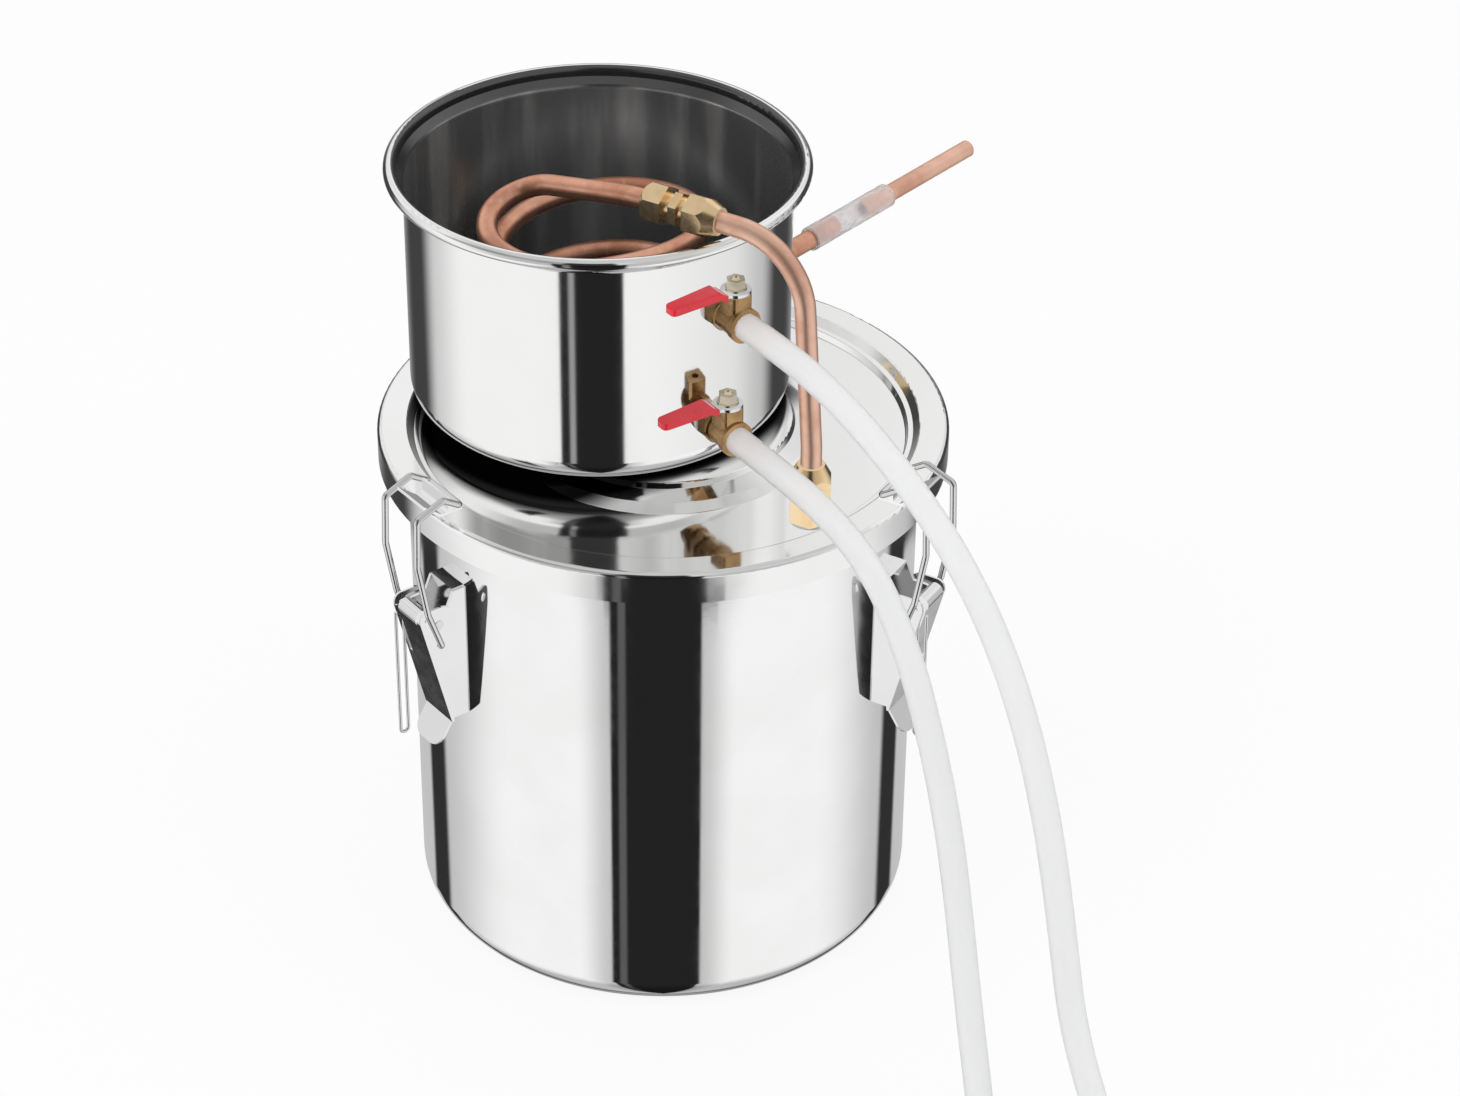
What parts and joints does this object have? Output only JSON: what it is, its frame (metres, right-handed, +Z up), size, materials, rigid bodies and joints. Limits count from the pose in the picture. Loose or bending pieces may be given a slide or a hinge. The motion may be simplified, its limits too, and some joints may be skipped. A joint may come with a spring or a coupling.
{
  "type": "pot still with condenser coil",
  "caption": "Home still: clamped steel boiler pot, water bucket with copper condenser coil on its lid, ball valves with hoses, copper outlet spout.",
  "frame": {"origin": "centre of the boiler pot's flat base, on the surface it stands on", "axes": "+Z up along the pot's axis, -Y towards the side with the valves, +X to the right seen from there"},
  "size_m": [0.5317, 0.675, 0.4171],
  "materials": {
    "polished_steel": "polished",
    "pressed_steel": "satin",
    "steel_wire": "polished",
    "copper": "satin",
    "bright_brass": "satin",
    "cast_brass": "satin",
    "silicone_seal": "satin",
    "silicone_hose": "satin",
    "seat_plastic": "matte",
    "red_vinyl": "gloss"
  },
  "bodies": {
    "still": {"boiler_pot": "polished_steel", "condenser_bucket": "polished_steel", "condenser_coil": "copper", "hose_lower": "silicone_hose", "hose_lower_coil": "silicone_hose", "hose_upper": "silicone_hose", "hose_upper_coil": "silicone_hose", "latch_base_back": "pressed_steel", "latch_base_left": "pressed_steel", "latch_base_right": "pressed_steel", "latch_pins": "steel_wire", "lid": "polished_steel", "lid_connector": "bright_brass", "lid_connector_ferrule": "bright_brass", "lid_connector_locknut": "bright_brass", "lid_connector_nut": "bright_brass", "lid_connector_seal": "silicone_seal", "lid_gasket": "silicone_seal", "lid_keepers": "polished_steel", "outlet_gland": "bright_brass", "outlet_gland_nut": "bright_brass", "outlet_gland_seal": "silicone_seal", "outlet_sleeve": "silicone_hose", "outlet_spout": "copper", "union_body": "bright_brass", "union_ferrules": "bright_brass", "union_nut_inlet": "bright_brass", "union_nut_outlet": "bright_brass", "valve_locknuts": "bright_brass", "valve_lower_body": "cast_brass", "valve_lower_end": "cast_brass", "valve_seals": "silicone_seal", "valve_seats": "seat_plastic", "valve_upper_body": "cast_brass", "valve_upper_end": "cast_brass", "vapour_pipe": "copper"},
    "valve_handle_upper": {"valve_upper_stem": "bright_brass", "valve_upper_ball": "polished_steel", "valve_upper_lever": "pressed_steel", "valve_upper_grip": "red_vinyl", "valve_upper_nut": "bright_brass"},
    "valve_handle_lower": {"valve_lower_stem": "bright_brass", "valve_lower_ball": "polished_steel", "valve_lower_lever": "pressed_steel", "valve_lower_grip": "red_vinyl", "valve_lower_nut": "bright_brass"},
    "latch_lever_left": {"latch_lever_left": "pressed_steel"},
    "latch_bail_left": {"latch_bail_left": "steel_wire"},
    "latch_hairpin_left": {"latch_hairpin_left": "steel_wire"},
    "latch_lever_right": {"latch_lever_right": "pressed_steel"},
    "latch_bail_right": {"latch_bail_right": "steel_wire"},
    "latch_hairpin_right": {"latch_hairpin_right": "steel_wire"},
    "latch_lever_back": {"latch_lever_back": "pressed_steel"},
    "latch_bail_back": {"latch_bail_back": "steel_wire"},
    "latch_hairpin_back": {"latch_hairpin_back": "steel_wire"}
  },
  "joints": [
    {"name": "valve_upper_turn", "type": "hinge", "parent": "still", "child": "valve_handle_upper", "pos_m": [0.03307, -0.06118, 0.3595], "axis": [0, 0, 1], "range_deg": [0, 90]},
    {"name": "valve_lower_turn", "type": "hinge", "parent": "still", "child": "valve_handle_lower", "pos_m": [0.02995, -0.06337, 0.2997], "axis": [0, 0, 1], "range_deg": [0, 90]},
    {"name": "latch_left_open", "type": "hinge", "parent": "still", "child": "latch_lever_left", "pos_m": [-0.11334, -0.08387, 0.2106], "axis": [-0.5948, 0.8039, 0], "range_deg": [0, 90]},
    {"name": "bail_left_swing", "type": "hinge", "parent": "latch_lever_left", "child": "latch_bail_left", "pos_m": [-0.11318, -0.08375, 0.199], "axis": [-0.5948, 0.8039, 0], "range_deg": [-78.1, 0]},
    {"name": "hairpin_left_swing", "type": "hinge", "parent": "latch_lever_left", "child": "latch_hairpin_left", "pos_m": [-0.11897, -0.08803, 0.2155], "axis": [-0.5948, 0.8039, 0], "range_deg": [0, 70]},
    {"name": "latch_right_open", "type": "hinge", "parent": "still", "child": "latch_lever_right", "pos_m": [0.12022, -0.07367, 0.2106], "axis": [-0.5225, -0.8526, 0], "range_deg": [0, 90]},
    {"name": "bail_right_swing", "type": "hinge", "parent": "latch_lever_right", "child": "latch_bail_right", "pos_m": [0.12005, -0.07357, 0.199], "axis": [-0.5225, -0.8526, 0], "range_deg": [-78.1, 0]},
    {"name": "hairpin_right_swing", "type": "hinge", "parent": "latch_lever_right", "child": "latch_hairpin_right", "pos_m": [0.12619, -0.07733, 0.2155], "axis": [-0.5225, -0.8526, 0], "range_deg": [0, 70]},
    {"name": "latch_back_open", "type": "hinge", "parent": "still", "child": "latch_lever_back", "pos_m": [-0.00738, 0.14081, 0.2106], "axis": [0.9986, 0.0523, 0], "range_deg": [0, 90]},
    {"name": "bail_back_swing", "type": "hinge", "parent": "latch_lever_back", "child": "latch_bail_back", "pos_m": [-0.00737, 0.14061, 0.199], "axis": [0.9986, 0.0523, 0], "range_deg": [-78.1, 0]},
    {"name": "hairpin_back_swing", "type": "hinge", "parent": "latch_lever_back", "child": "latch_hairpin_back", "pos_m": [-0.00775, 0.1478, 0.2155], "axis": [0.9986, 0.0523, 0], "range_deg": [0, 70]}
  ],
  "couplings": [
    {"joint": "bail_left_swing", "follows": "latch_left_open", "ratio": -0.8667},
    {"joint": "bail_right_swing", "follows": "latch_right_open", "ratio": -0.8667},
    {"joint": "bail_back_swing", "follows": "latch_back_open", "ratio": -0.8667}
  ]
}
